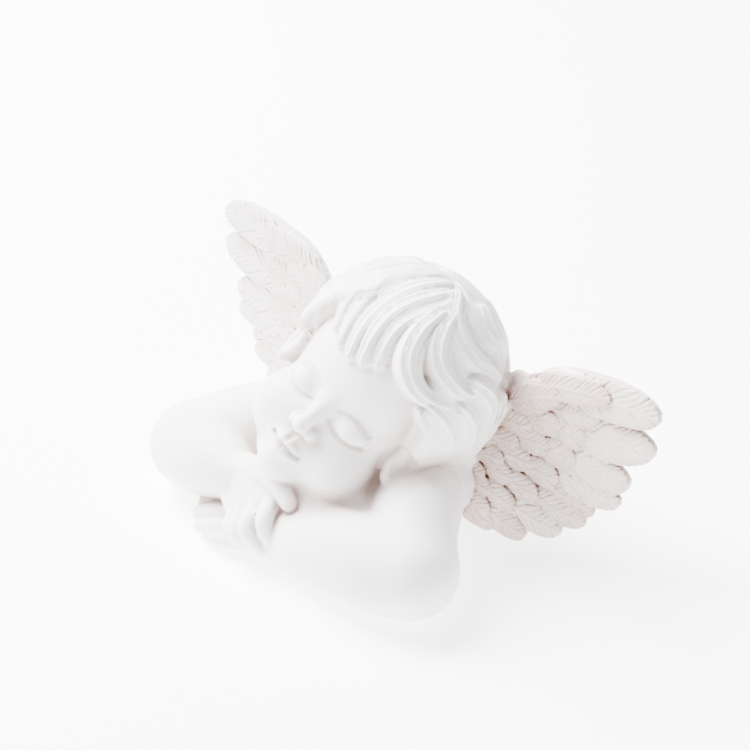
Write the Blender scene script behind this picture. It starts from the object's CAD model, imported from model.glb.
# %% [markdown]
# A sleeping cherub, sculpted from simple forms
#
# The real object is one casting in stone-filled resin: a winged child asleep on its folded arms. A sculptor
# would block it out with balls and rolls of clay and then work the surface. The same is done here in code:
# balls and limbs are blended into one distance function, a mesh is laid over them, and each of its points is
# moved onto the blend. The feathers, hair and face are further forms of the same kind.

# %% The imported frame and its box
from math import ceil, cos, pi, radians, sin

import bmesh
import bpy
import numpy as np
from mathutils import Euler, Matrix, Vector


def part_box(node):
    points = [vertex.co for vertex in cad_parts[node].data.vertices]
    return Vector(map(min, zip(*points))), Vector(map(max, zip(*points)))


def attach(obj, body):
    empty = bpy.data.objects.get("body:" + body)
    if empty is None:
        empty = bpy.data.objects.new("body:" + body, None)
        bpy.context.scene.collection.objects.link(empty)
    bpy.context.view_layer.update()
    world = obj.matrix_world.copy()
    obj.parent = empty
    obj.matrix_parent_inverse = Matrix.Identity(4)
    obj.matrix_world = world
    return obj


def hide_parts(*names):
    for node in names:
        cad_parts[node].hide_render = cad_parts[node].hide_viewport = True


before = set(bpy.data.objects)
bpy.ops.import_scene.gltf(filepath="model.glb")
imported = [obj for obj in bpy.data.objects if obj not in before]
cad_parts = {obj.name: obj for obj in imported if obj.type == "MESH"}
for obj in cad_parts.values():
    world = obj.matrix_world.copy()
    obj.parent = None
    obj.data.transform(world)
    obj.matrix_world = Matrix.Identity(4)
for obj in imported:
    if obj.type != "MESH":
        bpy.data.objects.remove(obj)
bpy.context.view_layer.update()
low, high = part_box("cherub_bust")
print("solid spans", [round((b - a) * 1000, 1) for a, b in zip(low, high)], "mm")

# The figure is laid out in units that are a millimetre at the size of its solid.
COARSE_VOXEL = 1.1
FINE_VOXEL = 0.75
PLAIN_FACES = 84000
FACE_LIMIT = 198000
FACES_PER_DIVISION = 3.3
FRONT_LIMIT = 0.1
VANE_REACH = 0.7
COVERT_HALF_WIDTH = 6.0
FACE_REACH = 46.0
QUILL_BARB_PITCH = 3.4
COVERT_BARB_PITCH = 2.6
BARB_SLANT = 1.3
BARB_DEPTH = 0.6
SHAFT_RISE = 0.15
CREASE_REACHES = (0.7, 1.6, 3.2)
HOLLOW_REACH = 9.0
MARGIN = 6.0
FAR = 1000.0

# %% [markdown]
# Distance forms
#
# A ball or a limb is easy to describe by how far a point lies from it, and two such distances blend into one
# with a soft fillet. This beats joining meshes: any crease can be as tight or as soft as clay would make it.

# %% Balls, limbs and their blend


def smooth_min(a, b, k):
    """The union of two distances with a fillet of about k."""
    h = np.clip(0.5 + 0.5 * (b - a) / k, 0.0, 1.0)
    return b + (a - b) * h - k * h * (1.0 - h)


def spline(rows, steps):
    """A Catmull-Rom curve through the rows, each row a point with whatever goes along with it."""
    p = np.asarray(rows, float)
    p = np.vstack([2 * p[0] - p[1], p, 2 * p[-1] - p[-2]])
    out = []
    for i in range(1, len(p) - 2):
        a, b, c, d = p[i - 1 : i + 3]
        for t in np.arange(steps) / steps:
            bend = (2 * a - 5 * b + 4 * c - d) * t**2 + (3 * b - a - 3 * c + d) * t**3
            out.append(0.5 * (2 * b + (c - a) * t + bend))
    out.append(p[-2])
    return np.array(out)


class Form:
    """Anything that changes the distance to the figure near it: by default a body joined on or cut away."""

    def join(self, d, p):
        own = self.distance(p)
        return -smooth_min(-d, own, self.k) if self.cut else smooth_min(d, own, self.k)


class Ball(Form):
    """An ellipsoid, joined with a fillet of k, or carved away if cut is set."""

    def __init__(self, centre, radii, turn=(0, 0, 0), k=4.0, cut=False):
        self.centre = np.array(centre, float)
        self.radii = np.array(radii if np.ndim(radii) else [radii] * 3, float)
        self.frame = np.array(Euler([radians(t) for t in turn]).to_matrix())
        self.k, self.cut = k, cut

    def place(self, frame, origin):
        self.centre = origin + frame @ self.centre
        self.frame = frame @ self.frame
        return self

    def reach(self):
        return self.centre, self.radii.max() + self.k + MARGIN

    def distance(self, p):
        q = (p - self.centre) @ self.frame
        near = np.linalg.norm(q / self.radii, axis=1)
        slope = np.linalg.norm(q / self.radii**2, axis=1)
        return near * (near - 1.0) / np.maximum(slope, 1e-9)

    def beads(self):
        turn = Matrix(self.frame.tolist()).to_4x4()
        return [Matrix.Translation(self.centre) @ turn @ Matrix.Diagonal((*(self.radii + self.k / 4), 1.0))]


class Limb(Form):
    """A tube of changing radius along a smooth curve.

    With ups it is flattened along them, and boxier as its power rises above 2.
    """

    def __init__(self, points, radii, k=3.0, ups=None, flat=1.0, power=2, cut=False, steps=4):
        rows = [[*point, radius] for point, radius in zip(points, radii)]
        if ups is not None:
            rows = [row + list(up) for row, up in zip(rows, ups)]
        curve = spline(rows, steps)
        self.path, self.radii = curve[:, :3], np.maximum(curve[:, 3], 0.15)
        self.ups = None
        if ups is not None:
            self.ups = curve[:, 4:] / np.linalg.norm(curve[:, 4:], axis=1)[:, None]
        self.k, self.flat, self.power, self.cut = k, flat, power, cut

    def place(self, frame, origin):
        self.path = origin + self.path @ frame.T
        if self.ups is not None:
            self.ups = self.ups @ frame.T
        return self

    def reach(self):
        centre = (self.path.min(0) + self.path.max(0)) / 2
        size = np.linalg.norm(self.path - centre, axis=1).max()
        return centre, size + self.radii.max() + self.k + MARGIN

    def chart(self, p):
        """How far points lie from the limb, how far along its middle line, and how far to its side."""
        best, run = np.full(len(p), FAR), 0.0
        ahead, aside = np.zeros(len(p)), np.zeros(len(p))
        for i in range(len(self.path) - 1):
            a, along = self.path[i], self.path[i + 1] - self.path[i]
            length = max(np.linalg.norm(along), 1e-9)
            travel = (p - a) @ along / length
            share = np.clip(travel / length, 0, 1)
            off = p - a - share[:, None] * along
            radius = self.radii[i] + share * (self.radii[i + 1] - self.radii[i])
            square = np.einsum("ij,ij->i", off, off)
            wide = np.zeros(len(p))
            if self.ups is not None:
                up = self.ups[i]
                rise, wide = np.abs(off @ up), off @ np.cross(along / length, up)
                beyond = np.maximum(square - rise * rise - wide * wide, 0.0)
                n = self.power
                section = (np.abs(wide) ** n + (self.flat * rise) ** n) ** (2.0 / n)
                square = section + beyond
            d = np.sqrt(np.maximum(square, 1e-12)) - radius
            closer = d < best
            best = np.where(closer, d, best)
            ahead = np.where(closer, run + travel, ahead)
            aside = np.where(closer, wide, aside)
            run += length
        return best, ahead, aside

    def distance(self, p):
        return self.chart(p)[0]

    def beads(self):
        found = []
        for i in range(len(self.path) - 1):
            a, b = self.path[i], self.path[i + 1]
            r0, r1 = self.radii[i], self.radii[i + 1]
            count = max(1, ceil(np.linalg.norm(b - a) / (0.5 * min(r0, r1) + 0.2)))
            for t in np.arange(count + 1) / count:
                r = r0 + (r1 - r0) * t + self.k / 4
                bead = Matrix.Diagonal((r, r, r / self.flat, 1.0))
                if self.ups is not None:
                    bead = Vector(self.ups[i]).to_track_quat("Z", "X").to_matrix().to_4x4() @ bead
                found.append(Matrix.Translation(a + (b - a) * t) @ bead)
        return found


class Groove(Form):
    """A soft line pressed into the face, drawn by x and z as seen from straight in front."""

    cut = True

    def __init__(self, rows, width, depth):
        rows = spline(rows, 3)
        self.path = np.stack([rows[:, 0], np.full(len(rows), -26.0), rows[:, 1]], 1)
        self.width, self.depth = width, depth

    def place(self, frame, origin):
        self.path = origin + self.path @ frame.T
        self.ahead = frame[:, 1]
        return self

    def reach(self):
        return self.path.mean(0), 16.0

    def join(self, d, p):
        apart = np.full(len(p), FAR)
        for a, b in zip(self.path[:-1], self.path[1:]):
            share = np.clip((p - a) @ (b - a) / ((b - a) @ (b - a)), 0, 1)
            off = p - a - share[:, None] * (b - a)
            off -= (off @ self.ahead)[:, None] * self.ahead
            apart = np.minimum(apart, np.linalg.norm(off, axis=1))
        return d + self.depth * np.clip(1 - (apart / self.width) ** 2, 0, 1) ** 2


def blend(forms, p):
    """The distance from points p to the blend of the forms, taken in their order."""
    d = np.full(len(p), FAR)
    for form in forms:
        centre, reach = form.reach()
        near = np.flatnonzero(((p - centre) ** 2).sum(1) < reach**2)
        if not len(near):
            continue
        d[near] = form.join(d[near], p[near])
    return d

# %% [markdown]
# Chest, arms and hands
#
# The bust is cut off low behind the arms. The upper arms drop from low shoulders to the elbows, the forearms
# cross in front, and the right hand is laid over the left wrist. Each finger is one tapering limb.

# %% Body forms


def torso():
    """The chest and the cut-off back, low behind the folded arms, and the neck up to the head."""
    return [
        Ball((0, -14, 20), (38, 29, 24), k=8),
        Ball((0, 0, 15), (38, 24, 25), k=8),
        Ball((0, -16, 27), (36, 19, 15), k=8),
        Ball((8, -44, 17), (30, 18, 19), k=9),
        Limb([(2, -12, 32), (6, -20, 48)], [19, 18], k=6),
    ]


def arms():
    """Upper arms from the low shoulders to the elbows, and forearms crossed in front."""
    forms = []
    for side in (-1, 1):
        upper = [(36 * side, -25, 24.5), (45 * side, -38, 23.5), (55 * side, -50, 18.5)]
        forms.append(Limb(upper, [16.8, 16.5, 16.5], k=4))
    left = [(56, -50.5, 17.5), (43, -56, 17), (28, -58.5, 16.3), (14, -60, 13.5), (3, -60, 11)]
    forms.append(Limb(left, [17, 17, 16, 13.5, 11], k=2.6))
    right = [(-56, -50.5, 17.5), (-46, -54, 20), (-36, -56.5, 22), (-25, -58, 23.5)]
    forms.append(Limb(right, [17, 15.5, 13, 9], k=2.6))
    return forms


def finger(points, radius, k=0.65):
    return Limb(points, [radius, radius, radius * 0.98, radius * 0.72], k=k)


def hands():
    """The left hand lies flat on the table, the right one is laid over its wrist."""
    palm = [(4, -60, 10.5), (-6, -62, 9.5), (-14, -63, 8.5)]
    forms = [Limb(palm, [10.5, 9.5, 8], k=3)]
    for start, middle, near, tip, radius in LEFT_FINGERS:
        forms.append(finger([start, middle, near, tip], radius))
    for wrist, knuckle, bend, tip, radius in RIGHT_FINGERS:
        forms.append(Limb([wrist, knuckle], [5.6, radius + 0.5], k=3.2))
        bent = [knuckle, bend, np.add(bend, tip) / 2 + (0.2, -0.9, 0), tip]
        forms.append(finger(bent, radius))
    thumb = [(-15, -56.5, 29), (-7, -58, 32.4), (0, -60, 32), (6.2, -61.6, 28.4)]
    forms.append(Limb(thumb, [6, 4.8, 4.0, 3.2], k=1.0))
    return forms


# Fingers from the little one to the index, each with its joints in turn and its radius.
LEFT_FINGERS = [
    ((-10, -69, 6), (-14, -71, 6), (-19, -72.5, 5), (-24.5, -73.5, 3.8), 3.6),
    ((-12, -66, 8), (-18, -68.5, 8), (-24, -70.5, 6.5), (-30, -72, 4.6), 4.0),
    ((-13, -62, 10), (-20, -63.5, 10), (-28, -65.5, 8), (-35, -68, 5.6), 4.2),
    ((-13, -57, 10), (-21, -57.5, 10.5), (-29, -59.5, 9), (-37.5, -63, 6), 4.1),
]
RIGHT_FINGERS = [
    ((-26, -59.5, 20), (-15.6, -67.4, 15.6), (-13.6, -72.2, 13.6), (-9.8, -71.8, 9.0), 3.0),
    ((-24, -58.5, 23), (-11.0, -66.4, 19.8), (-8.8, -73.0, 16.2), (-4.9, -72.2, 9.0), 3.3),
    ((-22, -57.5, 26), (-6.0, -64.4, 23.6), (-4.0, -72.4, 19.4), (0.2, -71.8, 10.2), 3.45),
    ((-20, -56.5, 28), (-1.4, -61.6, 26.2), (1.6, -69.2, 23.0), (4.4, -69.4, 13.6), 3.3),
]


# %% [markdown]
# The head
#
# The skull is four balls. The face is a calm child's, with full cheeks and closed lids, and then the whole
# head is turned and laid over onto the hands.

# %% Skull and face


def skull():
    return [
        Ball((0, 8, 12), (31.5, 36, 31), k=4),
        Ball((0, -6, 10), (27, 24, 23), k=6),
        Ball((0, -6, -14), (24.5, 21, 25), k=8),
        Ball((0, -8, -36), (16, 13, 10), k=6),
    ]


def face():
    """A calm child's face: full cheeks, a small nose and mouth, closed lids."""
    forms = [Ball((0, -19.5, -35.5), (8.5, 8, 7), k=5), Ball((0, -20.5, -27.0), (9.5, 8.8, 7.5), k=5)]
    for side in (-1, 1):
        forms.append(Ball((14.2 * side, -13.5, -22.5), (12.4, 12.6, 12.6), k=6))
        socket = Ball((11.8 * side, -33.6, -5.4), (8.8, 6.2, 5.8), turn=(0, 0, 14 * side), k=4.5, cut=True)
        forms.append(socket)
    forms.append(Limb([(0, -25.4, -1), (0, -27.4, -8.5), (0, -30.6, -16.6)], [2.4, 2.5, 3.1], k=3.2))
    for side in (-1, 1):
        forms.append(Ball((3.9 * side, -28.2, -17.4), (2.3, 2.9, 2.3), k=1.6))
        forms.append(Ball((2.1 * side, -30.0, -20.3), (1.5, 2.0, 1.5), k=1.0, cut=True))
        forms.append(Ball((11.7 * side, -20.4, -6.6), (7.7, 7.0, 6.0), turn=(0, 0, 10 * side), k=1.6))
        forms += ear(side)
        forms.append(Groove(lid_line(side, 6.8, -2.1, -2.3), 1.5, 1.1))
        forms.append(Groove(lid_line(side, 6.4, 3.2, 1.7), 1.4, 0.7))
    return forms + lips()


def lips():
    upper = bow([(7.4, -25.4, -27.4), (4.0, -28.0, -25.9), (1.4, -29.0, -25.1), (0, -29.0, -25.4)])
    lower = bow([(6.2, -25.6, -28.2), (3.0, -27.8, -29.2), (0, -28.4, -29.6)])
    return [
        Limb(upper, [0.5, 1.3, 1.75, 1.6, 1.75, 1.3, 0.5], k=1.4),
        Limb(lower, [0.5, 1.5, 1.9, 1.5, 0.5], k=1.4),
        Groove(bow([(6.6, -27.0), (4.0, -27.5), (1.2, -27.2), (0, -27.7)]), 1.5, 1.4),
        Groove([(0, -20.8), (0, -23.6)], 1.8, 0.6),
    ]


def bow(half):
    """A line across the face from its left half, given from the corner to the middle."""
    return half + [(-point[0], *point[1:]) for point in half[-2::-1]]


def lid_line(side, half, height, bow_height):
    """The slit between the closed lids, or the fold over the upper one, as x and z on the face."""
    return [(11.7 * side + half * t, -6.6 + height + bow_height * (1 - t * t)) for t in np.linspace(-1, 1, 7)]


def ear(side):
    """A small ear that stands a little off the head: a shell with a shallow hollow inside its rolled rim."""
    middle = np.array((27.4 * side, -8.5, -4.0))
    out, back = np.array((0.86 * side, -0.51, 0.0)), np.array((0.51 * side, 0.86, 0.0))
    rim = []
    for angle in (140, 100, 60, 20, -20, -60, -95):
        reach = (4.6 if angle > -50 else 3.2) * cos(radians(angle))
        rim.append(middle + back * reach + out * 2.8 + np.array((0, 0, 7.6 * sin(radians(angle)))))
    return [
        Ball(middle, (3.8, 5.8, 8.4), turn=(0, 0, 30.7 * side), k=2.0),
        Ball(middle + out * 6.2 - back, (3.4, 3.2, 4.8), turn=(0, 0, 30.7 * side), k=2.4, cut=True),
        Limb(rim, [1.3, 1.7, 1.9, 1.9, 1.9, 2.1, 2.3], k=1.2),
    ]


# The head's own frame: its left, its face and its crown, seen from the figure's, and where its middle lies.
HEAD_LEFT, HEAD_UP, HEAD_FACE = (0.885, -0.036, -0.452), (0.395, 0.559, 0.729), (0.226, -0.824, 0.509)
HEAD_CENTRE = (6.6, -20.4, 56.2)


def head_frame():
    face_way = np.array(HEAD_FACE) / np.linalg.norm(HEAD_FACE)
    up = np.array(HEAD_UP) - np.dot(HEAD_UP, face_way) * face_way
    up /= np.linalg.norm(up)
    return np.stack([np.cross(up, face_way), -face_way, up], 1)


def on_head(forms):
    return [form.place(head_frame(), np.array(HEAD_CENTRE)) for form in forms]


# %% [markdown]
# Hair
#
# Hair in a casting is a close cap with locks laid over it like roof tiles. The hair is a coat on the skull,
# and each lock is drawn over the scalp and raises the coat under it, with a few strands combed into its top.
# Rows of locks are laid by a loop at the back, and the fringe and the waves beside the face are placed one by
# one.

# %% Cap and locks


# The hair is drawn over the skull by longitude and latitude, seen from the middle of the head and spread
# on a ball of this radius. Its cap is this thick, a lock's edge falls this far, and strands are combed in
# this deep.
HAIR_CENTRE = np.array([-1.5, 7.5, 9.5])
SCALP_RADIUS = 40.0
CAP_RISE = 7.2
LOCK_FALL = 6.0
STRAND_DEPTH = 1.1


def outward(path):
    """The directions of (longitude, latitude) pairs, with the face at 0 and the crown above."""
    lon, lat = np.radians(np.array(path, float)).T
    return np.stack([np.sin(lon) * np.cos(lat), -np.cos(lon) * np.cos(lat), np.sin(lat)], 1)


class Lock:
    """A lock of hair drawn over the scalp, full at its root and narrow at its tip, with strands combed in."""

    def __init__(self, path, width, rise, tip_rise, strands=3, tip=0.36):
        t = np.linspace(0, 1, len(path))
        half = width / 2 * np.where(t < 0.3, 0.7 + t, tip + (1 - tip) * (1 - (t - 0.3) / 0.7) ** 0.7)
        rises = rise + (tip_rise - rise) * t**1.5
        curve = spline(np.column_stack([outward(path) * SCALP_RADIUS, half, rises]), 4)
        self.path, self.half, self.rise = curve[:, :3], curve[:, 3], curve[:, 4]
        self.strands = strands
        self.centre = (self.path.min(0) + self.path.max(0)) / 2
        self.reach = np.linalg.norm(self.path - self.centre, axis=1).max() + 1.6 * self.half.max()

    def chart(self, spots):
        """How far spots of the scalp lie from the lock's middle line, to which side, and its rise there."""
        away = np.full(len(spots), FAR)
        across, rise = np.zeros(len(spots)), np.zeros(len(spots))
        for i in range(len(self.path) - 1):
            a, along = self.path[i], self.path[i + 1] - self.path[i]
            share = np.clip((spots - a) @ along / max(along @ along, 1e-9), 0, 1)
            off = spots - a - share[:, None] * along
            half = self.half[i] + share * (self.half[i + 1] - self.half[i])
            side = np.cross(along, a)
            side /= max(np.linalg.norm(side), 1e-9)
            apart = np.linalg.norm(off, axis=1) / half
            closer = apart < away
            away = np.where(closer, apart, away)
            across = np.where(closer, off @ side / half, across)
            rise = np.where(closer, self.rise[i] + share * (self.rise[i + 1] - self.rise[i]), rise)
        return away, np.clip(across, -1, 1), rise

    def height(self, spots):
        away, across, rise = self.chart(spots)
        combed = (0.5 + 0.5 * np.cos(pi * self.strands * (across + 1))) ** 2
        return rise + 0.8 * across - LOCK_FALL * np.minimum(away, 1.6) ** 3 - STRAND_DEPTH * combed


class Mane(Form):
    """The hair as a coat on the skull: a close cap cut back from face, ears and neck, with locks over it."""

    k, cut = 0.8, False

    def __init__(self, locks):
        self.locks = locks
        self.bare = skull() + [Ball((0, 17, -19), (25, 20, 18), k=6)]
        self.hollows = [Ball((0, -45, -8), (37.0, 42, 47), k=9)]
        self.hollows += [Ball((29 * side, -16, -13), (10, 17, 15), k=3) for side in (-1, 1)]
        self.hollows.append(Ball((0, -45, -72), 76, k=3))

    def place(self, frame, origin):
        self.frame, self.origin = frame, origin
        return self

    def reach(self):
        return self.origin + self.frame @ HAIR_CENTRE, 64.0

    def skin(self, q):
        d = self.bare[0].distance(q)
        for form in self.bare[1:]:
            d = smooth_min(d, form.distance(q), form.k)
        return d

    def distance(self, p):
        q = (p - self.origin) @ self.frame
        bare = self.skin(q)
        coat = bare - CAP_RISE
        for hollow in self.hollows:
            coat = -smooth_min(-coat, hollow.distance(q), hollow.k)
        spots = q - HAIR_CENTRE
        spots *= SCALP_RADIUS / np.maximum(np.linalg.norm(spots, axis=1), 1e-9)[:, None]
        height = np.full(len(p), -FAR)
        for lock in self.locks:
            near = np.flatnonzero(((spots - lock.centre) ** 2).sum(1) < lock.reach**2)
            height[near] = -smooth_min(-height[near], -lock.height(spots[near]), 0.5)
        return smooth_min(coat, bare - height, self.k)

    def combed(self, p):
        """How far across the lock that lies uppermost each point is, in units."""
        spots = (p - self.origin) @ self.frame - HAIR_CENTRE
        spots *= SCALP_RADIUS / np.maximum(np.linalg.norm(spots, axis=1), 1e-9)[:, None]
        height, across = np.full(len(p), -FAR), np.zeros(len(p))
        for lock in self.locks:
            near = np.flatnonzero(((spots - lock.centre) ** 2).sum(1) < lock.reach**2)
            own = lock.height(spots[near])
            over = own > height[near]
            height[near] = np.where(over, own, height[near])
            across[near] = np.where(over, lock.chart(spots[near])[1] * lock.half.mean(), across[near])
        return across

    def beads(self):
        turn = Matrix(self.frame.tolist()).to_4x4()
        head = Matrix.Translation(self.origin) @ turn
        cap = Ball(HAIR_CENTRE, (35.5, 40.5, 37.0))
        found = [head @ bead for bead in cap.beads() + self.bare[-1].beads()]
        for lock in self.locks:
            out = lock.path / SCALP_RADIUS
            low, high = np.full(len(out), 10.0), np.full(len(out), 60.0)
            for _ in range(12):
                middle = (low + high) / 2
                inside = self.skin(HAIR_CENTRE + out * middle[:, None]) < 0
                low, high = np.where(inside, middle, low), np.where(inside, high, middle)
            for way, reach, half, rise in zip(out, low, lock.half, lock.rise):
                lean = Vector(way).to_track_quat("Z", "X").to_matrix().to_4x4()
                bead = Matrix.Diagonal((0.8 * half, 0.8 * half, 0.5 * rise + 0.6, 1.0))
                middle = Matrix.Translation(HAIR_CENTRE + way * (reach + 0.5 * rise))
                found.append(head @ middle @ lean @ bead)
        return found


# Locks that show in front, each with its path, width, rise at its root and at its tip, strands, and how
# much of its width is left at the tip if that isn't the usual share.
FRONT_LOCKS = [
    ([(-58, 66), (-50, 50), (-42, 36), (-33, 22), (-24, 11)], 14.0, 9.8, 3.4, 3, 0.6),
    ([(-44, 70), (-36, 54), (-30, 39), (-22, 24), (-14, 8)], 14.0, 10.0, 3.2, 3, 0.6),
    ([(-20, 74), (-18, 56), (-16, 41), (-12, 25), (-5, 8)], 14.0, 10.4, 3.2, 3, 0.6),
    ([(2, 68), (-4, 52), (-6, 38), (-3, 24), (2, 11)], 13.0, 10.7, 3.4, 3, 0.6),
    ([(12, 64), (6, 49), (3, 36), (5, 25), (9, 15)], 12.0, 10.6, 3.2, 3, 0.55),
    ([(14, 54), (14, 39), (19, 27), (29, 20), (42, 19), (56, 22)], 12.0, 10.9, 7.4, 3),
    ([(22, 60), (25, 46), (32, 36), (44, 32), (58, 31), (70, 34)], 12.5, 11.2, 8.6, 3),
    ([(10, 72), (24, 60), (40, 52), (58, 48), (76, 48), (92, 44)], 14.0, 11.4, 9.0, 3),
    ([(-10, 80), (40, 72), (66, 64), (90, 60), (112, 54)], 14.0, 10.6, 9.2, 3),
    ([(-100, 76), (-170, 82), (140, 74), (132, 60), (134, 46)], 14.0, 10.6, 9.0, 3),
    ([(62, 38), (76, 37), (90, 31), (98, 18), (98, 4)], 12.0, 10.6, 8.0, 3),
    ([(44, 16), (55, 14), (67, 9), (78, -1), (85, -14), (86, -26)], 10.5, 8.8, 7.0, 3),
    ([(60, 24), (74, 20), (88, 9), (96, -6), (96, -22)], 12.0, 9.8, 7.6, 3),
    ([(42, 12), (50, 8), (59, 3), (68, -3), (76, -10)], 8.5, 7.6, 6.0, 2),
    ([(100, 34), (112, 20), (116, 2), (110, -14)], 12.5, 10.4, 8.0, 3),
    ([(100, 2), (94, -11), (83, -20), (70, -26), (58, -28)], 10.5, 9.4, 4.2, 3),
    ([(-68, 66), (-62, 50), (-57, 37), (-54, 24), (-57, 10)], 13.0, 10.0, 7.6, 3),
    ([(-86, 58), (-80, 44), (-73, 30), (-69, 16), (-72, 2)], 12.5, 10.6, 8.4, 3),
    ([(-102, 46), (-96, 30), (-88, 16), (-83, 2), (-86, -12)], 12.0, 10.2, 8.0, 3),
    ([(-114, 30), (-108, 14), (-100, 0), (-95, -14)], 11.5, 9.8, 7.6, 3),
    ([(-58, 32), (-51, 21), (-45, 10), (-44, -2)], 9.0, 8.4, 3.6, 2, 0.5),
]


def hair():
    """Rows of falling locks behind, and the locks that show in front."""
    locks = []
    rng = np.random.default_rng(7)
    for row, (latitude, count, fall, width) in enumerate(HAIR_ROWS):
        for i in range(count):
            longitude = 104 + 152 * (i + 0.5 * (row % 2)) / (count - 1)
            if latitude > 40:
                longitude = 80 + 270 * (i + 0.3) / count
            sway = rng.choice([-1, 1]) * rng.uniform(8, 14)
            drop = fall * rng.uniform(0.85, 1.15)
            phase = rng.uniform(0, 0.6)
            path = []
            for j in range(5):
                lat = latitude + 16 - drop * j / 4
                swing = sway * sin(j * 1.35 + phase) * j / 4 / max(0.35, cos(radians(lat)))
                path.append((longitude + swing, lat))
            rise = rng.uniform(9.4, 10.8)
            locks.append(Lock(path, width * rng.uniform(0.95, 1.15), rise, rise - rng.uniform(0.6, 1.8)))
    return [Mane(locks + [Lock(*front) for front in FRONT_LOCKS])]


# Rows of locks from the nape to the crown: where each ends, how many it has, how far they fall and their
# width.
HAIR_ROWS = [
    (-34, 7, 24, 12),
    (-16, 8, 28, 13),
    (4, 8, 30, 13.5),
    (24, 8, 32, 14),
    (44, 7, 32, 14),
    (62, 5, 32, 14),
]


# %% [markdown]
# Wings
#
# Each wing is a thin curved sheet of layered feathers. Quills come first, then long coverts and round coverts
# over them, every layer standing a little prouder, so that the edges overlap as they do on the casting.

# %% Feathers


def wing_depth(z):
    """How far back the wing's middle surface lies at height z: it leans back from the base to the bend."""
    return 19.0 - 15.0 * (1.0 - min(max(z, 0.0), 75.0) / 75.0) ** 2


LONG_TIP = (0.66, 0.88, 1.0, 0.96, 0.76, 0.5)
ROUND_TIP = (0.6, 0.8, 0.95, 1.0, 0.98, 0.9)


def feather(side, base, tip, width, lift, bow=0.0, k=0.4, tilt=0.26, shape=LONG_TIP):
    """A flat vane from base to tip as (x, z) pairs, on the wing's front, or behind it if lift < 0."""
    base, tip = np.array(base, float), np.array(tip, float)
    along = (tip - base) / np.linalg.norm(tip - base)
    normal = np.array([-along[1], along[0]])
    end = tip - along * 0.4 * shape[-1] * width
    rows = []
    for t in (0.0, 0.25, 0.5, 0.75, 0.92, 1.0):
        x, z = base + (end - base) * t + normal * bow * sin(pi * t)
        rows.append((side * x, wing_depth(z) - lift * min(1.0, 0.35 + 1.6 * t), z))
    way = -1.0 if lift > 0 else 1.0
    radii = [width / 2 * share for share in shape]
    return Limb(rows, radii, k=k, ups=[(0, way, tilt)] * 6, flat=4.4, power=3, steps=3)


def wing(side):
    """Three layers of feathers in front and a plainer pair behind, over a thin core and a rounded bend."""
    edge = [(24, 6, 34), (44, 15, 50), (62, 19.5, 69), (80, 19.5, 75.5), (92, 19, 76.5)]
    edge = [(side * x, y, z) for x, y, z in edge]
    forms = [
        Limb(edge, [9, 5.2, 3.6, 2.4, 1.4], k=2.5),
        Limb([(24 * side, 4, 26), (36 * side, 13, 31), (50 * side, 16, 42)], [11, 6, 2.5], k=5),
        Limb([(24 * side, 3, 12), (34 * side, 9.5, 12), (42 * side, 11, 16)], [11, 5, 2], k=5),
    ]
    for base, tip, width, lift, bow in QUILLS + LONG_COVERTS:
        forms.append(feather(side, base, tip, width, lift, bow))
    for base, tip, width, lift in ROUND_COVERTS:
        forms.append(feather(side, base, tip, width, lift, tilt=0.1, shape=ROUND_TIP))
    for base, tip, width, lift, bow in QUILLS:
        inner = np.array(base) - (np.array(tip) - base) * (0.35 if base[1] < 60 else 0.0)
        forms.append(feather(side, inner, tip, width, -0.3, bow, k=0.8, tilt=-0.2))
    for base, tip, width, lift in BACK_COVERTS:
        forms.append(feather(side, base, tip, width, lift, k=0.8, tilt=-0.1))
    return forms


# Feathers from the top of the wing to its foot and from its edge inwards: base, tip, width and lift, and
# for the long ones how far they bow.
QUILLS = [
    ((60, 66), (107.5, 73.0), 15.5, 1.3, 1.5),
    ((62, 59), (107.0, 58.8), 16.5, 1.2, -3.5),
    ((62, 48), (99.0, 41.6), 15.0, 1.1, -2.5),
    ((60, 38), (97.0, 33.4), 12.5, 1.0, -1.5),
    ((54, 30), (87.5, 25.5), 10.5, 0.8, -1.0),
    ((50, 24), (85.0, 20.4), 11.5, 1.1, -1.5),
    ((44, 17), (76.0, 12.8), 12.0, 1.1, -1.5),
    ((34, 11), (62.0, 5.2), 11.5, 1.2, -1.0),
    ((26, 7), (48.0, 2.8), 10.0, 1.3, -0.5),
]
LONG_COVERTS = [
    ((54, 64), (88.0, 73.5), 10.5, 3.4, 1.0),
    ((52, 57), (84.0, 62.5), 10.5, 2.8, -0.5),
    ((36, 47), (68.0, 65.5), 11.0, 4.8, 1.5),
    ((35, 43), (62.0, 56.0), 10.5, 4.6, 1.0),
]
ROUND_COVERTS = [
    ((62, 50), (79.5, 53.0), 11.5, 3.0),
    ((58, 41), (76.0, 42.5), 11.5, 3.0),
    ((53, 32), (70.5, 32.0), 11.0, 2.9),
    ((46, 24), (63.5, 22.5), 11.0, 2.9),
    ((38, 17), (55.0, 14.5), 10.5, 3.0),
    ((28, 11), (45.0, 8.0), 10.5, 3.1),
    ((52, 51), (68.5, 53.5), 10.5, 4.3),
    ((49, 42), (64.5, 43.5), 10.5, 4.3),
    ((43, 34), (59.0, 34.0), 10.5, 4.3),
    ((37, 26), (52.0, 25.0), 10.0, 4.3),
    ((29, 18), (44.0, 16.5), 10.0, 4.4),
    ((41, 46), (57.0, 49.0), 9.5, 5.7),
    ((38, 38), (53.0, 40.0), 9.5, 5.7),
    ((33, 30), (47.5, 31.0), 9.5, 5.7),
    ((27, 22), (41.0, 22.0), 9.0, 5.7),
    ((30, 37), (44.5, 40.5), 8.5, 7.0),
    ((26, 29), (39.0, 31.5), 8.5, 7.0),
]
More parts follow.
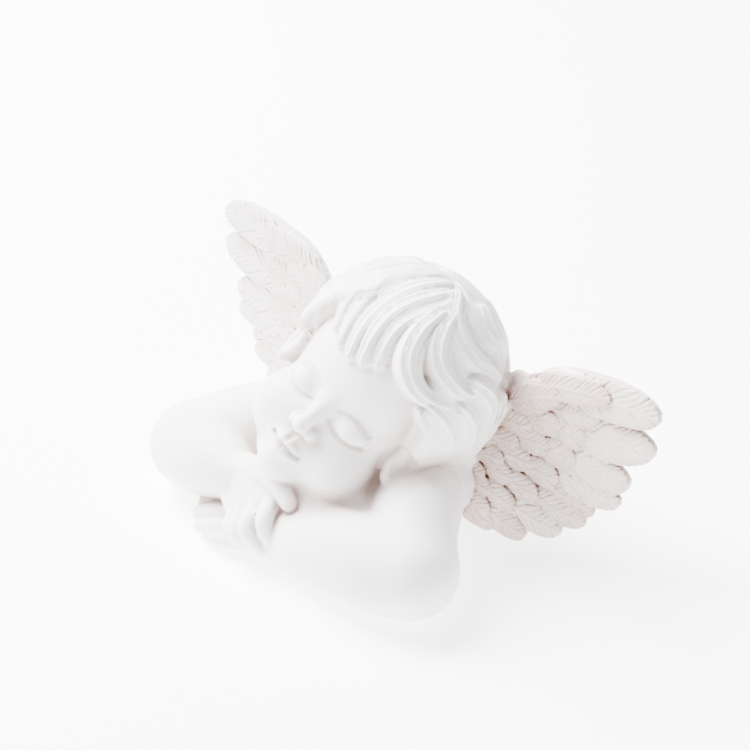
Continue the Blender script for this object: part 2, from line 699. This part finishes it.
BACK_COVERTS = [
    ((50, 57), (86.0, 67.0), 13.0, -2.6),
    ((38, 48), (80.0, 55.0), 15.0, -2.6),
    ((36, 38), (74.0, 42.0), 15.0, -2.6),
    ((32, 28), (66.0, 29.0), 15.0, -2.6),
    ((28, 18), (54.0, 16.0), 15.0, -2.6),
    ((24, 10), (40.0, 7.0), 13.0, -2.6),
]


# %% [markdown]
# From forms to one skin
#
# A row of balls along every form is fused by a voxel remesh. Its points are brought near the blend, a finer
# remesh evens them out, and then each point is moved straight along its normal until it lies on the surface.

# %% Distances, settling and carving


def distances(groups, p):
    d = smooth_min(blend(groups["body"], p), blend(groups["head"], p), 4.0)
    for name, crease in (("hair", 0.8), ("hands", 0.9), ("wings", 1.0)):
        d = smooth_min(d, blend(groups[name], p), crease)
    return d


def settle(groups, p, rounds):
    wide = 0.8
    for _ in range(rounds):
        d = distances(groups, p)
        slope = np.stack([distances(groups, p + step) - d for step in wide * np.eye(3)], 1) / wide
        move = slope * (d / np.maximum((slope * slope).sum(1), 0.25))[:, None]
        length = np.linalg.norm(move, axis=1)
        p = p - move * np.minimum(1.0, 1.6 / np.maximum(length, 1e-9))[:, None]
    return p


def carve(groups, p, normals, rounds):
    small = 0.1
    for _ in range(rounds):
        d = distances(groups, p)
        rate = (distances(groups, p + small * normals) - d) / small
        p = p - normals * np.clip(d / np.maximum(rate, 0.4), -0.8, 0.8)[:, None]
    return p


# %% Meshes from forms


def unit_ball(segments):
    bm = bmesh.new()
    bmesh.ops.create_uvsphere(bm, u_segments=segments, v_segments=segments * 2 // 3, radius=1.0)
    mesh = bpy.data.meshes.new("ball")
    bm.to_mesh(mesh)
    bm.free()
    return mesh


def beads(forms):
    balls = [unit_ball(segments) for segments in (8, 15, 24)]
    bm = bmesh.new()
    for form in forms:
        if form.cut:
            continue
        for place in form.beads():
            size = max(place.to_scale())
            ball = balls[(size > 1.5) + (size > 6.0)].copy()
            ball.transform(place)
            bm.from_mesh(ball)
            bpy.data.meshes.remove(ball)
    mesh = bpy.data.meshes.new("cherub")
    bm.to_mesh(mesh)
    bm.free()
    for ball in balls:
        bpy.data.meshes.remove(ball)
    return mesh


def modified(ob, kind, **settings):
    modifier = ob.modifiers.new(kind, kind)
    for name, value in settings.items():
        setattr(modifier, name, value)
    mesh = bpy.data.meshes.new_from_object(ob.evaluated_get(bpy.context.evaluated_depsgraph_get()))
    ob.modifiers.clear()
    ob.data = mesh


def coordinates(mesh):
    points = np.empty(len(mesh.vertices) * 3)
    mesh.vertices.foreach_get("co", points)
    return points.reshape(-1, 3)


def facing(mesh):
    normals = np.empty(len(mesh.vertices) * 3)
    mesh.vertex_normals.foreach_get("vector", normals)
    return normals.reshape(-1, 3)


def move_to(mesh, points):
    mesh.vertices.foreach_set("co", points.astype(np.float32).ravel())
    mesh.update()


# %% The skin
groups = {
    "body": torso() + arms(),
    "head": on_head(skull() + face()),
    "hair": on_head(hair()),
    "hands": hands(),
    "wings": wing(-1) + wing(1),
}
bust = bpy.data.objects.new("cast_bust", beads([form for forms in groups.values() for form in forms]))
bpy.context.scene.collection.objects.link(bust)
modified(bust, "REMESH", mode="VOXEL", voxel_size=COARSE_VOXEL, adaptivity=0.0)
move_to(bust.data, settle(groups, coordinates(bust.data), 3))
modified(bust, "REMESH", mode="VOXEL", voxel_size=FINE_VOXEL, adaptivity=0.0)
move_to(bust.data, carve(groups, coordinates(bust.data), facing(bust.data), 3))
print("skin of", len(bust.data.vertices), "points")


# %% [markdown]
# The flat underside
#
# The cast stands on a sawn-flat base, so the skin is cut at the table and the cut is closed.

# %% Cut and close


def cut_underside(mesh):
    bm = bmesh.new()
    bm.from_mesh(mesh)
    whole = bm.verts[:] + bm.edges[:] + bm.faces[:]
    table = {"plane_co": (0, 0, 0), "plane_no": (0, 0, -1), "dist": 0.02}
    bmesh.ops.bisect_plane(bm, geom=whole, clear_outer=True, **table)
    crumbs, seen = [], set()
    for start in bm.verts:
        if start in seen:
            continue
        shell, waiting = {start}, [start]
        while waiting:
            for edge in waiting.pop().link_edges:
                fresh = set(edge.verts) - shell
                shell |= fresh
                waiting.extend(fresh)
        seen |= shell
        if len(shell) < len(bm.verts) / 2:
            crumbs.extend(shell)
    bmesh.ops.delete(bm, geom=crumbs, context="VERTS")
    bmesh.ops.holes_fill(bm, edges=[edge for edge in bm.edges if edge.is_boundary])
    bmesh.ops.triangulate(bm, faces=bm.faces[:])
    bmesh.ops.recalc_face_normals(bm, faces=bm.faces[:])
    bm.to_mesh(mesh)
    bm.free()


cut_underside(bust.data)
print("cut skin of", len(bust.data.polygons), "triangles")


# %% [markdown]
# Feathers up close
#
# Each vane has a raised shaft and slanting barbs pressed into it. Only the fronts of the wings need a mesh
# fine enough for that, so the rest is thinned out first, and the face less than the rest. The faces of the
# vanes are then divided once more, as many as the limit on triangles allows.

# %% Which vane a point lies on


def vanes(p):
    """How far points lie along and across the nearest front feather, its half width and its number."""
    nearest = np.full(len(p), VANE_REACH)
    ahead, aside, half, number = (np.zeros(len(p)) for _ in range(4))
    for index, form in enumerate(groups["wings"]):
        if form.ups is None or form.flat < 4 or form.ups[0][1] > 0:
            continue
        centre, reach = form.reach()
        near = np.flatnonzero(((p - centre) ** 2).sum(1) < reach**2)
        d, travel, wide = form.chart(p[near])
        closer = np.abs(d) < nearest[near]
        hit = near[closer]
        nearest[hit] = np.abs(d)[closer]
        ahead[hit], aside[hit] = travel[closer], wide[closer]
        half[hit], number[hit] = form.radii.max(), index + 1
    return ahead, aside, half, number


def on_front(points, normals):
    """Which points lie on a vane and face forwards."""
    return (vanes(points)[3] > 0) & (normals[:, 1] < FRONT_LIMIT)


# %% Thin the plain skin and divide the vanes
points, normals = coordinates(bust.data), facing(bust.data)
front = on_front(points, normals)
head_spot = np.array(HEAD_CENTRE) + head_frame() @ np.array((0, -22, -6))
away = np.linalg.norm(points - head_spot, axis=1) / FACE_REACH
plain = np.where(front, 0.0, np.clip(away, 0.15, 1.0))
group = bust.vertex_groups.new(name="plain")
for level in range(11):
    picked = np.flatnonzero(np.round(plain * 10) == level)
    group.add(picked.tolist(), level / 10, "REPLACE")
share = min(1.0, PLAIN_FACES / len(bust.data.polygons))
modified(bust, "DECIMATE", ratio=share, vertex_group="plain", vertex_group_factor=1.0)
bust.vertex_groups.clear()
print("thinned to", len(bust.data.polygons), "triangles")

points, normals = coordinates(bust.data), facing(bust.data)
front = on_front(points, normals)
bm = bmesh.new()
bm.from_mesh(bust.data)
bm.verts.ensure_lookup_table()
fine = [face for face in bm.faces if all(front[vert.index] for vert in face.verts)]
wanted = len(fine)
fine = fine[: int((FACE_LIMIT - len(bm.faces)) / FACES_PER_DIVISION)]
edges = list({edge for face in fine for edge in face.edges})
bmesh.ops.subdivide_edges(bm, edges=edges, cuts=1)
bmesh.ops.triangulate(bm, faces=[face for face in bm.faces if len(face.verts) > 3])
bm.to_mesh(bust.data)
bm.free()
points, normals = coordinates(bust.data), facing(bust.data)
front = on_front(points, normals)
points[front] = carve(groups, points[front], normals[front], 2)
move_to(bust.data, points)
print("divided", len(fine), "of", wanted, "vane faces, now", len(bust.data.polygons), "triangles")

# %% Shafts and barbs
points, normals = coordinates(bust.data), facing(bust.data)
ahead, aside, half, number = vanes(points)
vane = (number > 0) & (normals[:, 1] < FRONT_LIMIT)
width = np.abs(aside)
pitch = np.where(half < COVERT_HALF_WIDTH, COVERT_BARB_PITCH, QUILL_BARB_PITCH)
wander = 0.25 * np.sin(0.4 * ahead + 2.1 * number) + 0.1 * np.sin(1.1 * width + 1.7 * number)
phase = (ahead - BARB_SLANT * width) / pitch + wander
uneven = 0.65 + 0.35 * np.sin(2.4 * np.floor(phase) + 5.0 * number)
line = (0.5 - 0.5 * np.cos(2 * pi * phase)) ** 4 * uneven
within = np.clip((half - width) / 1.2, 0, 1) * np.clip((width - 0.3) / 0.8, 0, 1)
barb = np.where(vane, line * within, 0.0)
shaft = np.where(vane, np.exp(-((aside / 0.6) ** 2)) * np.clip(ahead / 3, 0, 1), 0.0)
move_to(bust.data, points + normals * (SHAFT_RISE * shaft - BARB_DEPTH * barb)[:, None])
print("barbs pressed into", int(vane.sum()), "points")


# %% [markdown]
# Where wash gathers
#
# A thin dark wash was wiped over the casting and stayed in its creases. A point lies in a crease if the space
# just outside it is nearer to the surface than open space would be, which the same distances tell.

# %% Creases, wings, barbs and strands as attributes
points, normals = coordinates(bust.data), facing(bust.data)
crease = np.zeros(len(points))
for reach in CREASE_REACHES:
    crease += np.clip(1.0 - distances(groups, points + reach * normals) / reach, 0.0, 1.0) / 3
hollow = np.clip(1.0 - distances(groups, points + HOLLOW_REACH * normals) / HOLLOW_REACH, 0.0, 1.0)
half, number = vanes(points)[2:]
covert = np.where(half < COVERT_HALF_WIDTH, 1.0, 0.7)
winged = np.where(number > 0, covert * np.where(points[:, 0] > 0, 1.0, 0.6), 0.0)
mane = groups["hair"][0]
haired = np.clip(1.0 - np.abs(mane.distance(points)) / 0.5, 0.0, 1.0)
strand = mane.combed(points)
wash_map = {"crease": crease, "hollow": hollow, "winged": winged, "barb": barb}
wash_map |= {"haired": haired, "strand": strand}
for name, values in wash_map.items():
    bust.data.attributes.new(name, "FLOAT", "POINT").data.foreach_set("value", values.astype(np.float32))

# %% Into the solid's place
points = coordinates(bust.data)
points[points[:, 2] < 0.05, 2] = 0.0
least, most = points.min(0), points.max(0)
middle = (least + most) / 2
unit = min((high[i] - low[i]) / (most[i] - least[i]) for i in range(3))
place = Vector(((low[0] + high[0]) / 2, (low[1] + high[1]) / 2, low[2]))
points = (points - (middle[0], middle[1], 0)) * unit + np.array(place)
move_to(bust.data, points)
bust.data.shade_smooth()
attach(bust, "root")
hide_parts("cherub_bust")
print("one unit is", round(unit * 1000, 4), "mm")

# %% [markdown]
# The cast finish
#
# Matt white resin with a very fine tooth. A thin warm-grey wash veils the wings and the deep hollows, and it
# is darker in the creases and in the barbs.

# %% Sockets as expressions


class Value:
    """A shader socket that can be added and multiplied like a number."""

    def __init__(self, tree, socket):
        self.tree, self.socket = tree, socket

    def node(self, kind, inputs, output=0, **settings):
        made = self.tree.nodes.new(kind)
        for name, setting in settings.items():
            setattr(made, name, setting)
        for name, value in inputs.items():
            if isinstance(value, Value):
                self.tree.links.new(value.socket, made.inputs[name])
            else:
                made.inputs[name].default_value = value
        return Value(self.tree, made.outputs[output])

    def math(self, operation, other):
        return self.node("ShaderNodeMath", {0: self, 1: other}, operation=operation)

    def __add__(self, other):
        return self.math("ADD", other)

    def __mul__(self, other):
        return self.math("MULTIPLY", other)

    __radd__, __rmul__ = __add__, __mul__

    def between(self, start, end):
        """0 up to start, 1 from end on, and an even rise in between."""
        inputs = {"Value": self, "From Min": start, "From Max": end}
        return self.node("ShaderNodeMapRange", inputs, clamp=True)

    def mix(self, first, second):
        """The first colour where this value is 0 and the second where it is 1."""
        return self.node("ShaderNodeMix", {0: self, 6: first, 7: second}, output=2, data_type="RGBA")


# %% The resin material
resin = bpy.data.materials.new("cast_resin_wash")
resin.use_nodes = True
tree = resin.node_tree
shader = tree.nodes["Principled BSDF"]
start = Value(tree, None)


def attribute(name):
    return start.node("ShaderNodeAttribute", {}, output="Fac", attribute_name=name)


def noise(scale, detail):
    return start.node("ShaderNodeTexNoise", {"Vector": where, "Scale": scale, "Detail": detail}, output="Fac")


where = start.node("ShaderNodeTexCoord", {}, output="Object")
creased, sunk, on_wing, barbed = [attribute(name) for name in ("crease", "hollow", "winged", "barb")]
cloud, tooth = noise(60.0, 4.0), noise(2600.0, 2.0)

WHITE, WARM = (0.86, 0.85, 0.845, 1.0), (0.55, 0.425, 0.38, 1.0)
WASH, DEEP = (0.42, 0.29, 0.245, 1.0), (0.16, 0.085, 0.06, 1.0)
veil = sunk.between(0.05, 0.7) * 0.5 + on_wing * (0.55 + 0.6 * cloud)
tint = veil.math("MINIMUM", 1.0).mix(WHITE, WARM)
lines = creased.between(0.16, 0.6) * (0.5 + 0.5 * on_wing) + barbed * (0.3 + 1.2 * on_wing)
tint = lines.math("MINIMUM", 1.0).mix(tint, WASH)
tint = (creased.between(0.4, 0.75) * (0.12 + 0.8 * on_wing)).mix(tint, DEEP)
tree.links.new(tint.socket, shader.inputs["Base Color"])
rough = 0.5 + 0.15 * cloud + 0.1 * creased
tree.links.new(rough.socket, shader.inputs["Roughness"])

# Strands too fine for the mesh are combed along each lock, and the tooth is the casting's own.
BUMP_HEIGHT = 0.00012
STRANDS_PER_UNIT = 5.2
comb = start.node("ShaderNodeMath", {0: attribute("strand") * STRANDS_PER_UNIT}, operation="SINE")
combed = comb * attribute("haired")
combing = {"Height": combed, "Strength": 0.5, "Distance": BUMP_HEIGHT}
strands = start.node("ShaderNodeBump", combing, output="Normal")
grain = {"Height": tooth, "Normal": strands, "Strength": 0.12, "Distance": BUMP_HEIGHT}
bump = start.node("ShaderNodeBump", grain, output="Normal")
tree.links.new(bump.socket, shader.inputs["Normal"])
shader.inputs["Specular IOR Level"].default_value = 0.4
bust.data.materials.clear()
bust.data.materials.append(resin)

# %% [markdown]
# Floor, light and camera
#
# The floor is a pale sheet lit to near white, and the light is soft, from above and from the left. The
# camera looks down on the figure from its left.

# %% Floor
bm = bmesh.new()
bmesh.ops.create_grid(bm, x_segments=1, y_segments=1, size=3.0)
floor_mesh = bpy.data.meshes.new("floor")
bm.to_mesh(floor_mesh)
bm.free()
floor = bpy.data.objects.new("floor", floor_mesh)
bpy.context.scene.collection.objects.link(floor)
paper = bpy.data.materials.new("white_paper")
paper.use_nodes = True
sheet = paper.node_tree.nodes["Principled BSDF"]
sheet.inputs["Base Color"].default_value = (0.93, 0.93, 0.93, 1.0)
sheet.inputs["Roughness"].default_value = 0.9
sheet.inputs["Emission Color"].default_value = (1.0, 1.0, 1.0, 1.0)
sheet.inputs["Emission Strength"].default_value = 3.2
floor.data.materials.append(paper)

# %% Light
world = bpy.data.worlds.new("studio")
world.use_nodes = True
world.node_tree.nodes["Background"].inputs["Color"].default_value = (1.0, 0.965, 0.95, 1.0)
world.node_tree.nodes["Background"].inputs["Strength"].default_value = 0.8
bpy.context.scene.world = world
softbox = bpy.data.lights.new("softbox", "AREA")
softbox.size, softbox.energy = 0.9, 165.0
lamp = bpy.data.objects.new("softbox", softbox)
lamp.location = (-0.75, -0.1, 1.05)
lamp.rotation_euler = (Vector((0, 0, 0.04)) - lamp.location).to_track_quat("-Z", "Y").to_euler()
bpy.context.scene.collection.objects.link(lamp)

# %% Camera
BACK = Vector((0.568, -0.604, 0.559)).normalized()
RIGHT = Vector((0.728, 0.685, 0.0)).normalized()
UP = BACK.cross(RIGHT)
# The scale is in pixels a metre, and the middle of the figure lies this far off the middle of the picture.
DISTANCE, SCALE = 0.7778, 2670.0
PIXELS_RIGHT, PIXELS_DOWN = 17.39, 23.39
PICTURE_WIDTH, SENSOR_WIDTH = 750, 36.0
aim = Vector((0.0, 0.0, 0.04)) - RIGHT * (PIXELS_RIGHT / SCALE) + UP * (PIXELS_DOWN / SCALE)
aim -= Vector((0, middle[1] * unit, 0))
lens = bpy.data.cameras.new("view")
lens.sensor_width = SENSOR_WIDTH
lens.lens = DISTANCE * SCALE / PICTURE_WIDTH * SENSOR_WIDTH
camera = bpy.data.objects.new("view", lens)
camera.location = aim + BACK * DISTANCE
camera.rotation_euler = BACK.to_track_quat("Z", "Y").to_euler()
bpy.context.scene.collection.objects.link(camera)
bpy.context.scene.camera = camera

# %% Sizes and the table of pieces
bpy.context.view_layer.update()
